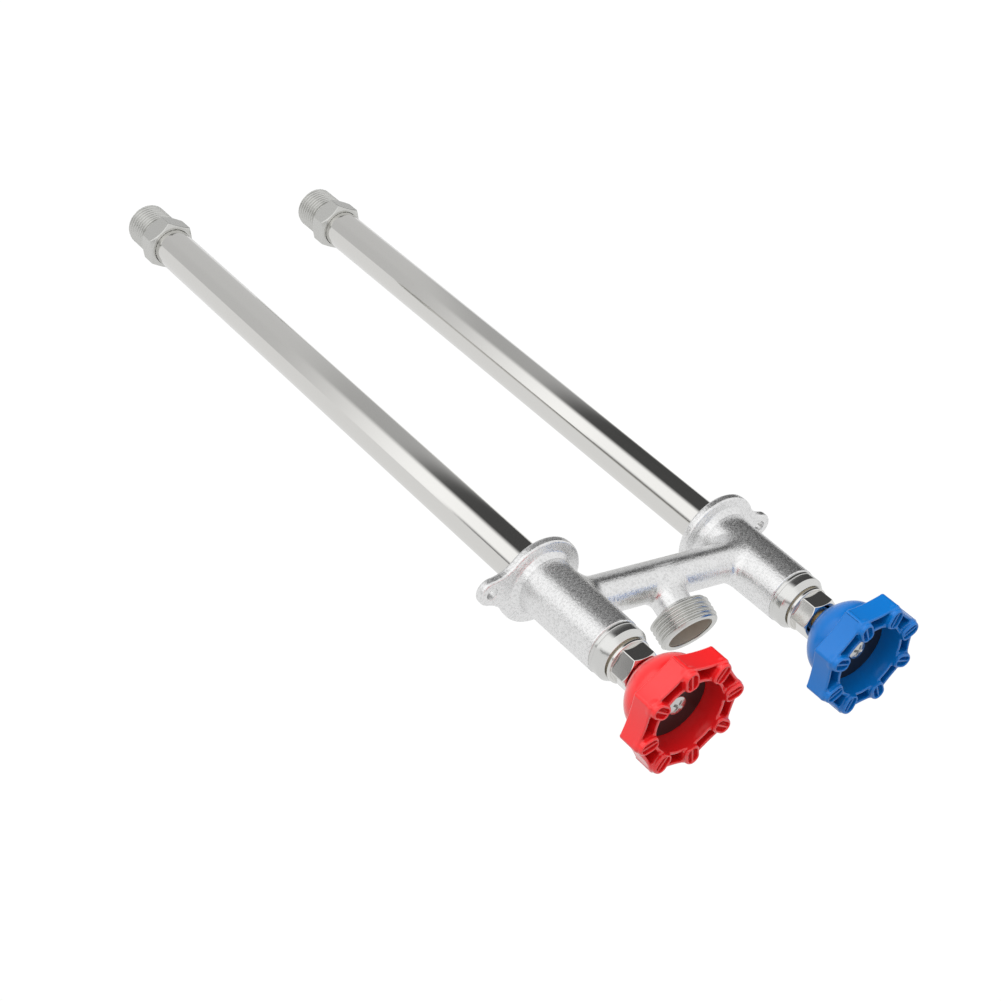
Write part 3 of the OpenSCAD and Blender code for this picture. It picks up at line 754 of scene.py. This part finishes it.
# %% Tubes
TUBE_WALL = 1.0
tube_profile = [
    (TUBE_R, TUBE_BACK), (TUBE_R, TUBE_FRONT),
    (TUBE_R - TUBE_WALL, TUBE_FRONT), (TUBE_R - TUBE_WALL, TUBE_BACK),
]
tube_mesh = turned("long_tube", tube_profile, ease=0.2, around=256)
for side in SIDES:
    placed(side + "_tube_skin", tube_mesh, polished, "sillcock", [side + "_tube"],
           side=side)

# %% [markdown]
# ## Inlet fittings
#
# Turned from hexagonal bar: bevelled flats for the wrench, a half inch pipe thread outside
# and a solder socket inside. The valve seat stands on its far side, within the tube.
# Boolean cuts on a hexagonal prism could make it, but the thread has to fade out in front
# of the hexagon, which the field does with one cone.

# %% Sizes of the inlet fittings
HEX_FLATS, HEX_CORNER = 22.5, 44
HEX_BACK, HEX_FRONT = TIP + 16.0, TIP + 26.5
PIPE_CREST_R, PIPE_DEPTH, PIPE_PITCH = 10.65, 1.05, INCH / 14
PIPE_CORE_R, RUNOUT_R, RUNOUT = 9.62, 9.9, 1.5
SOCKET_R, SOCKET_DEPTH, WATER_R, SEAT_R = 7.97, 13.0, 6.4, 4.2
SPIGOT_R, TUBE_SOCKET = TUBE_R - TUBE_WALL - 0.05, 7.0
print("inlet thread:", round(2 * PIPE_CREST_R, 1), "over", round(HEX_BACK - TIP, 1))


# %% Inlet fittings
def inlet_field(x, y, h):
    """The fitting: hexagon, pipe thread, solder socket and the spigot with its seat."""
    r = np.hypot(x, y)
    bar = shared(hexagon_field(x, y, HEX_FLATS, HEX_CORNER),
                 between(h, HEX_BACK, HEX_FRONT), edge=0.2)
    bar = shared(bar, cone_field(r, h, 10.9, HEX_FRONT, -1.2), edge=0.2)
    bar = shared(bar, cone_field(r, h, 11.1, HEX_BACK, 1.2), edge=0.2)
    screw = thread_field(x, y, h, PIPE_CREST_R, PIPE_DEPTH, PIPE_PITCH)
    screw = shared(screw, cone_field(r, h, 9.5, TIP, 1), edge=0.15)
    # The run-out: a cone that shrinks towards the hexagon and stays small from there on
    fading = np.minimum(h, HEX_BACK - RUNOUT)
    screw = shared(screw, cone_field(r, fading, RUNOUT_R, HEX_BACK - RUNOUT, -1), edge=0.1)
    screw = np.maximum(screw, between(h, TIP, HEX_BACK + 1))
    core = bar_field(r, h, PIPE_CORE_R, TIP, HEX_BACK + 2, edge=0.3)
    spigot = shared(bar_field(r, h, SPIGOT_R, HEX_FRONT - TUBE_SOCKET, SEAT),
                    cone_field(r, h, 5.6, SEAT, -0.9), edge=0.2)
    solid = np.minimum(np.minimum(bar, screw), np.minimum(core, spigot))
    ring = np.maximum(
        bar_field(r, h, TUBE_R + TUBE_FIT, HEX_FRONT - TUBE_SOCKET, HEX_FRONT + 5), SPIGOT_R - r,
    )
    solid = np.maximum(solid, -ring)
    solid = cut(solid, bar_field(r, h, SOCKET_R, TIP - 5, TIP + SOCKET_DEPTH), edge=0.25)
    water = bar_field(r, h, WATER_R, TIP + SOCKET_DEPTH - 1, HEX_FRONT - TUBE_SOCKET)
    solid = np.maximum(solid, -water)
    return cut(solid, r - SEAT_R, edge=0.3)


# %% Skin of the inlet fittings
inlet_mesh = skin("inlet_fitting", inlet_field, (-14.5, -14.5, TIP - 0.7),
                  (14.5, 14.5, SEAT + 0.7), 0.26)
for side in SIDES:
    placed(side + "_inlet_skin", inlet_mesh, fitting_plate, "sillcock",
           [side + "_inlet_fitting"], side=side)

# %% [markdown]
# ## Packing nuts
#
# A small hexagon with a round shoulder. It squeezes the packing round the stem. Its flats
# are polished before plating, so they mirror the studio in sharp patches, and its corners
# shine as thin lines. A bevel modifier gives corners of one width, but a nut's are widest
# at its bevelled face, which comes by itself where a cone meets the hexagon.

# %% Packing nuts
NUT_FLATS, NUT_CORNER = 17.5, 9
SHOULDER_R, SHOULDER_FRONT = 10.4, BODY_FRONT + 2.4
SKIRT_R, SKIRT_BACK = 8.5, BODY_FRONT - 7.6
PACKING_R, STEM_HOLE_R, NUT_TOP = 6.2, 4.05, 2.6


def nut_field(x, y, h):
    """The nut: a bevelled hexagon, the shoulder, and the skirt that screws in."""
    r = np.hypot(x, y)
    head = shared(hexagon_field(x, y, NUT_FLATS, NUT_CORNER),
                  between(h, BODY_FRONT + 1, NUT_FRONT), edge=0.2)
    head = shared(head, cone_field(r, h, 8.7, NUT_FRONT, -1.3), edge=0.2)
    head = shared(head, cone_field(r, h, 9.3, SHOULDER_FRONT, 1.6), edge=0.2)
    shoulder = bar_field(r, h, SHOULDER_R, BODY_FRONT + 0.8, SHOULDER_FRONT, edge=0.45)
    skirt = bar_field(r, h, SKIRT_R, SKIRT_BACK, BODY_FRONT + 1.5, edge=0.4)
    solid = np.minimum(joined(head, shoulder, fillet=0.2), skirt)
    packing = bar_field(r, h, PACKING_R, SKIRT_BACK - 10, NUT_FRONT - NUT_TOP)
    solid = np.maximum(solid, -packing)
    return cut(solid, r - STEM_HOLE_R, edge=0.3)


nut_mesh = skin("packing_nut", nut_field, (-11, -11, SKIRT_BACK - 0.6),
                (11, 11, NUT_FRONT + 0.7), 0.18)
for side in SIDES:
    placed(side + "_nut_skin", nut_mesh, polished, "sillcock", [side + "_packing_nut"],
           side=side)

# %% [markdown]
# ## Stems
#
# Brass, turned from bar, with the coarse thread that draws the washer off its seat. A
# narrow part of it shows between the nut and the handle. Most of it is hidden, and a plain
# cylinder would do there, but it is seen when the valve is opened up.

# %% Stems
STEM_CREST_R, STEM_DEPTH, STEM_PITCH = 5.5, 0.9, 2.5
THREAD_BACK, THREAD_FRONT = 30.0, 52.0
STEM_BACK, STEM_CORE_R, SHAFT_R = 22.0, 4.62, 4.0
SQUARE_HALF, SQUARE_BACK, SQUARE_FRONT = 2.8, 67.6, 86.4
ROD_R, ROD_FRONT, SCREW_HOLE_R = 3.05, 29.05, 2.05


def stem_field(x, y, h):
    """The stem: thread, shaft and square, bored for the rod and for the handle screw."""
    r = np.hypot(x, y)
    thread = shared(thread_field(x, y, h, STEM_CREST_R, STEM_DEPTH, STEM_PITCH),
                    between(h, THREAD_BACK, THREAD_FRONT), edge=0.3)
    core = bar_field(r, h, STEM_CORE_R, STEM_BACK, THREAD_FRONT, edge=0.3)
    shaft = bar_field(r, h, SHAFT_R, THREAD_FRONT - 2, HANDLE_BACK + 1.2, edge=0.2)
    square = shared(np.maximum(np.abs(x), np.abs(y)) - SQUARE_HALF,
                    between(h, SQUARE_BACK, SQUARE_FRONT), edge=0.2)
    solid = np.minimum(np.minimum(thread, core), np.minimum(shaft, square))
    solid = np.maximum(solid, -bar_field(r, h, ROD_R, STEM_BACK - 7, ROD_FRONT))
    screw_hole = bar_field(r, h, SCREW_HOLE_R, HANDLE_BACK + 5.6, SQUARE_FRONT + 9)
    return np.maximum(solid, -screw_hole)


stem_mesh = skin("stem", stem_field, (-6, -6, STEM_BACK - 0.6), (6, 6, 87), 0.24)
for side in SIDES:
    placed(side + "_stem_skin", stem_mesh, brass, side + "_spindle", [side + "_stem"],
           side=side, turn=TURN[side], out=OPEN[side])

# %% [markdown]
# ## Hand wheels
#
# A die casting with eight lobes for wet fingers. The bell behind is slim, with a rounded
# back. The rim is a double wall: a cup for the index disc inside, an eight-sided wall
# outside, with slots between them to save metal, and a shallow well with a rib in each lobe.
# The lobes stand a little proud of the rim. Subdivision with creased edges could draw one
# lobe, but not its slots and rib without pinching. As one field all walls blend as they do
# in the die. A point is first folded into the nearest lobe, so one lobe draws all eight.

# %% Sizes of the hand wheel
LOBES, RIM, FLOOR = 8, 26.8, 16.8
BELL_BACK_R, BELL_SPREAD, BELL_FRONT, BELL_CURVE = 8.4, 9.6, 12.4, 2.1
# Makes a distance across the bell into one to its slanting skin, near enough for rounds
BELL_LEAN = 0.66
PANEL, PANEL_DISH, PANEL_HALF = 24.7, 0.8, 10.2
CORNER, CORNER_R, WALL_DEPTH = 24.6, 2.0, 9.8
LOBE_IN, LOBE_OUT, LOBE_R = 19.6, 22.4, 3.5
LOBE_DROP, LOBE_RISE = 2.5, 2.7
WELL_R, RIB_HALF, RIB_RISE = 2.3, 0.45, 1.9
CUP_R, CUP_DRAFT = 16.0, 0.06
SLOT_R, SLOT_WALL, SLOT_DEPTH = 18.0, 1.35, 8.0
SHELL, HUB_R, HOLLOW_END = 1.9, 5.6, 12.0
HUB_SQUARE_HALF, HUB_BORE_R, HUB_BORE_DEPTH = 2.85, 4.3, 1.25
print("hand wheel", round(2 * (CORNER + CORNER_R), 1), "across corners, rim at", RIM)


# %% Curves of the hand wheel
def lobe_axes(x, y):
    """Distances across and along the middle line of the nearest lobe."""
    pitch = 2 * math.pi / LOBES
    r, angle = np.hypot(x, y), np.arctan2(y, x)
    angle = angle - np.round(angle / pitch) * pitch
    return np.abs(r * np.sin(angle)), r * np.cos(angle)


def bell_reach(h):
    """Outer radius of the bell: small at its rounded back and full behind the cup."""
    t = np.clip(h / BELL_FRONT, 0, 1)
    return BELL_BACK_R + BELL_SPREAD * (1 - (1 - t) ** BELL_CURVE)


def wall_outline(across, along):
    """Distance to the outer wall: a dished panel between two rounded corners."""
    half = math.pi / LOBES
    off = across * math.sin(half) + along * math.cos(half)
    side = along * math.sin(half) - across * math.cos(half)
    panel = off - PANEL + PANEL_DISH * np.clip(1 - (side / PANEL_HALF) ** 2, 0, 1)
    corner = np.hypot(along - CORNER, across) - CORNER_R
    return np.where(across < (along - CORNER) * math.tan(half), corner, panel)


def lobe_outline(across, along, radius):
    """Distance to the round-ended outline of a lobe, or of the well in it."""
    return np.hypot(along - np.clip(along, LOBE_IN, LOBE_OUT), across) - radius


print("bell radius at its back, middle and front:",
      [round(float(bell_reach(h)), 1) for h in (0, BELL_FRONT / 2, BELL_FRONT)])


# %% Hand wheels
def wheel_outside(r, h, across, along):
    """Bell, outer wall and lobes, before anything is hollowed."""
    bell = shared((r - bell_reach(h)) * BELL_LEAN, -h, edge=0.9)
    bell = shared(bell, h - RIM, edge=0.5)
    wall = shared(wall_outline(across, along), RIM - WALL_DEPTH - h, edge=0.8)
    wall = shared(wall, h - RIM, edge=0.6)
    nose = shared(lobe_outline(across, along, LOBE_R),
                  between(h, RIM - LOBE_DROP, RIM + LOBE_RISE), edge=1.8)
    return joined(joined(bell, wall, fillet=0.8), nose, fillet=1.0)


def front_hollowed(solid, r, h, across, along):
    """The wheel with its cup, its wells with a rib, and the slots between its walls."""
    cup = shared(r - CUP_R - CUP_DRAFT * (h - FLOOR), FLOOR - h, edge=0.8)
    solid = cut(solid, cup, edge=0.5)
    well = lobe_outline(across, along, WELL_R)
    rib = shared(across - RIB_HALF, h - RIM - RIB_RISE, edge=0.4)
    pocket = cut(shared(well, RIM - 0.2 - h, edge=1.8), rib, edge=0.3)
    solid = cut(solid, pocket, edge=0.8)
    slot = shared(SLOT_R - r, wall_outline(across, along) + SLOT_WALL, edge=0.9)
    slot = shared(slot, SLOT_WALL - well, edge=0.9)
    return cut(solid, shared(slot, RIM - SLOT_DEPTH - h, edge=0.8), edge=0.45)


def handle_field(x, y, h):
    """The hand wheel, hollow behind round its square socket."""
    r = np.hypot(x, y)
    across, along = lobe_axes(x, y)
    solid = wheel_outside(r, h, across, along)
    solid = front_hollowed(solid, r, h, across, along)
    inside = (r - (bell_reach(h) - SHELL)) * BELL_LEAN
    groove = shared(shared(HUB_R - r, inside, edge=0.4), h - HOLLOW_END, edge=0.6)
    solid = cut(solid, groove, edge=0.3)
    square = np.maximum(np.abs(x), np.abs(y)) - HUB_SQUARE_HALF
    solid = np.maximum(solid, -square)
    return np.maximum(solid, -np.maximum(r - HUB_BORE_R, h - HUB_BORE_DEPTH))


# %% Skin of the hand wheels
handle_mesh = skin("handle", handle_field, (-27.7, -27.7, -0.8), (27.7, 27.7, 30.4), 0.28)
paints = {"hot": (red_enamel, "red_enamel"), "cold": (blue_enamel, "blue_enamel")}
for side, (paint, slot_name) in paints.items():
    placed(side + "_handle_skin", handle_mesh, paint, side + "_spindle", [side + "_handle"],
           side=side, turn=TURN[side], out=OPEN[side] + HANDLE_BACK)

# %% [markdown]
# ## Index disc and handle screw
#
# The disc is a plain black plastic button, so a turned ring is all it needs. The screw has
# a low domed head with a cross recess whose arms taper towards the bottom, so that the
# driver centres itself. A boolean cross would cut straight walls, and the field tapers them.

# %% Disc and screw
DISC_BACK = HANDLE_BACK + FLOOR
DISC_R, DISC_T = 15.8, 0.8
HEAD_R, HEAD_TOP = 4.4, 2.6
DOME_R, DOME_FLAT, DOME_SINK, DOME_LEAN = 4.2, 0.52, 1.6, 0.8
ARM_HALF, ARM_TAPER, ARM_REACH, REACH_TAPER, RECESS_FLOOR = 0.62, 0.18, 2.9, 0.7, 0.7
SHANK_R, SHANK_BACK = 2.0, -11.0


def screw_field(x, y, h):
    """The screw: a domed head with its cross recess, and a plain shank."""
    r = np.hypot(x, y)
    dome = (np.hypot(r * DOME_FLAT, h + DOME_SINK) - DOME_R) * DOME_LEAN
    head = shared(dome, np.maximum(-h, r - HEAD_R), edge=0.35)
    arm = ARM_HALF + ARM_TAPER * (h - HEAD_TOP)
    reach = ARM_REACH + REACH_TAPER * (h - HEAD_TOP)
    ax, ay = np.abs(x), np.abs(y)
    cross = np.minimum(np.maximum(ax - arm, ay - reach), np.maximum(ay - arm, ax - reach))
    solid = cut(head, np.maximum(cross, RECESS_FLOOR - h), edge=0.08)
    return np.minimum(solid, bar_field(r, h, SHANK_R, SHANK_BACK, 0.5, edge=0.4))


screw_mesh = skin("handle_screw", screw_field, (-4.8, -4.8, SHANK_BACK - 0.4),
                  (4.8, 4.8, 3.2), 0.12)
disc_profile = [(SCREW_HOLE_R, 0), (DISC_R, 0), (DISC_R, DISC_T), (SCREW_HOLE_R, DISC_T)]
disc_mesh = turned("index_disc", disc_profile, ease=0.25)
for side in SIDES:
    placed(side + "_disc_skin", disc_mesh, black_plastic, side + "_spindle",
           [side + "_index_disc"], side=side, out=OPEN[side] + DISC_BACK)
    placed(side + "_screw_skin", screw_mesh, steel, side + "_spindle",
           [side + "_handle_screw"], side=side, turn=TURN[side],
           out=OPEN[side] + DISC_BACK + DISC_T)

# %% [markdown]
# ## Pieces inside
#
# The rods, washers, packings and gaskets could be drawn anew, but their exact solids are
# already the real shape. They hide in the valve and are seen when it is opened up, so
# each keeps its solid and gets its own finish.

# %% Inner pieces
inner = {
    "nut_gasket": fibre, "packing": rubber, "packing_washer": brass, "operating_rod": brass,
    "swivel_cup": brass, "seat_washer": rubber, "washer_screw": brass,
}
for side in SIDES:
    for piece, material in inner.items():
        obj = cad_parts[side + "_" + piece]
        obj.data.materials.clear()
        obj.data.materials.append(material)
        obj.data.shade_smooth()
        obj.data.set_sharp_from_angle(angle=math.radians(30))
print("inner pieces:", 2 * len(inner))

# %% [markdown]
# ## Paper
#
# The tap lies in front of white paper that has no shadow on it, as in a catalogue. Lamps
# could light a white floor, but they would leave it uneven. This floor glows by itself
# instead. The picture is exposed so that the camera sees it just white, and it throws
# less on the metal, or the metal's lower side would wash out.

# %% Floor
PAPER_SEEN, PAPER_THROWN = 1.02, 0.83
PAPER_HALF, PAPER_GAP = 20.0, 0.0005
floor_material, tree, shader = surface("floor_white", "#000000", 0.0, 1.0)
shader.inputs["Specular IOR Level"].default_value = 0.0
shader.inputs["Emission Color"].default_value = (1, 1, 1, 1)
seen = add(tree, "ShaderNodeLightPath").outputs["Is Camera Ray"]
paper = add(
    tree, "ShaderNodeMapRange", {"To Min": PAPER_THROWN, "To Max": PAPER_SEEN},
    {"Value": seen},
).outputs["Result"]
tree.links.new(paper, shader.inputs["Emission Strength"])
floor_mesh = bpy.data.meshes.new("floor")
square = ((-1, -1), (1, -1), (1, 1), (-1, 1))
floor_corners = [(PAPER_HALF * i, PAPER_HALF * j, 0) for i, j in square]
floor_mesh.from_pydata(floor_corners, [], [(0, 1, 2, 3)])
floor = bpy.data.objects.new("floor", floor_mesh)
floor_mesh.materials.append(floor_material)
floor.location.z = cad_low.z - PAPER_GAP
bpy.context.scene.collection.objects.link(floor)
print("paper lies", round(-floor.location.z / MM, 1), "mm below the valve axes")

# %% [markdown]
# ## Lamps
#
# Two large soft lamps stand up and to the left, as over a product table. The key brightens
# the upper left panels of the hand wheels, and the fill lights the rest of the enamel.
# Small lamps would give hard spots. Nothing mirrors these two, since a bright rectangle
# in the metal would hide the quieter zones of the room.


# %% Lamps
def soft_light(name, place, size, power):
    """A rectangular lamp that points at the tap and doesn't show in mirrors."""
    data = bpy.data.lights.new(name, "AREA")
    data.shape = "RECTANGLE"
    data.size, data.size_y = size
    data.energy = power
    light = bpy.data.objects.new(name, data)
    light.location = place
    light.visible_glossy = False
    aim = Vector((0, -0.05, 0)) - Vector(place)
    light.rotation_euler = aim.to_track_quat("-Z", "Y").to_euler()
    bpy.context.scene.collection.objects.link(light)
    return light


lamps = [
    soft_light("key", place=(-1.0, 0.72, 0.96), size=(1.4, 1.2), power=4),
    soft_light("fill", place=(-0.65, 0.05, 1.25), size=(1.2, 1.2), power=17),
]
print("lamps:", [lamp.name for lamp in lamps])

# %% [markdown]
# ## The room that the metal mirrors
#
# Polished metal has no look of its own and shows what stands round it. Real studios hang
# white and black cards for that. Here the world is those cards: its light depends only on
# the direction, and soft steps mark where a card starts and ends. On a long tube each
# direction of y shows at its own place, so a step in y is a change along the tube.

# %% World
world = bpy.data.worlds.new("studio")
bpy.context.scene.world = world
world.use_nodes = True
world_tree = world.node_tree
sky = add(world_tree, "ShaderNodeTexCoord").outputs["Generated"]
way = add(world_tree, "ShaderNodeSeparateXYZ", links={"Vector": sky}).outputs


def zone(source, start, end, low, high):
    """A soft step between two values across a range of one direction."""
    return add(
        world_tree, "ShaderNodeMapRange",
        {"From Min": start, "From Max": end, "To Min": low, "To Max": high},
        {"Value": source}, interpolation_type="SMOOTHSTEP",
    ).outputs["Result"]


def blended(factor, a, b):
    """A value between a and b."""
    node = add(world_tree, "ShaderNodeMix", links={"Factor": factor})
    for key, source in (("A", a), ("B", b)):
        world_tree.links.new(source, node.inputs[key])
    return node.outputs["Result"]


# On the right: white in front, black beside the tap, grey behind the wall
front_card = zone(way["Y"], 0.05, 0.38, 0.9, 0.07)
grey_card = zone(way["Y"], 0.66, 0.72, 0.46, 0.63)
right_side = blended(zone(way["Y"], 0.565, 0.615, 0.0, 1.0), front_card, grey_card)
# On the left: dark below and white above near the tap, then white that fades to grey
low_gap = zone(way["Z"], -0.01, 0.24, 0.1, 1.15)
tube_card = zone(way["Y"], 0.57, 0.74, 1.2, 0.6)
left_side = blended(zone(way["Y"], 0.53, 0.56, 0.0, 1.0), low_gap, tube_card)
glow = blended(zone(way["X"], -0.1, -0.45, 0.0, 1.0), right_side, left_side)
background = world_tree.nodes["Background"].inputs
world_tree.links.new(glow, background["Color"])
background["Strength"].default_value = 1.0
print("nodes in the world:", len(world_tree.nodes))

# %% [markdown]
# ## Camera
#
# The place, direction and lens follow from known sizes seen in the photograph: the tubes'
# spacing and diameter, the ear screws and the two threads. The three lines of the matrix
# are the camera's own right, up and back. The standard view keeps white paper white.

# %% Camera
camera_data = bpy.data.cameras.new("camera")
camera_data.lens = 74.94
camera_data.sensor_width = 36.0
camera_data.clip_end = 50.0
camera = bpy.data.objects.new("camera", camera_data)
bpy.context.scene.collection.objects.link(camera)
camera_right = Vector((0.77458, -0.59392, 0.21744))
camera_up = Vector((0.16999, 0.52664, 0.83292))
camera_back = Vector((-0.6092, -0.6082, 0.50888))
camera_turn = Matrix((camera_right, camera_up, camera_back)).transposed().to_4x4()
camera.matrix_world = Matrix.Translation((-0.57445, -0.49225, 0.45546)) @ camera_turn
bpy.context.scene.camera = camera
bpy.context.scene.view_settings.view_transform = "Standard"
print("camera is", round(camera.location.length, 3), "m from the origin")
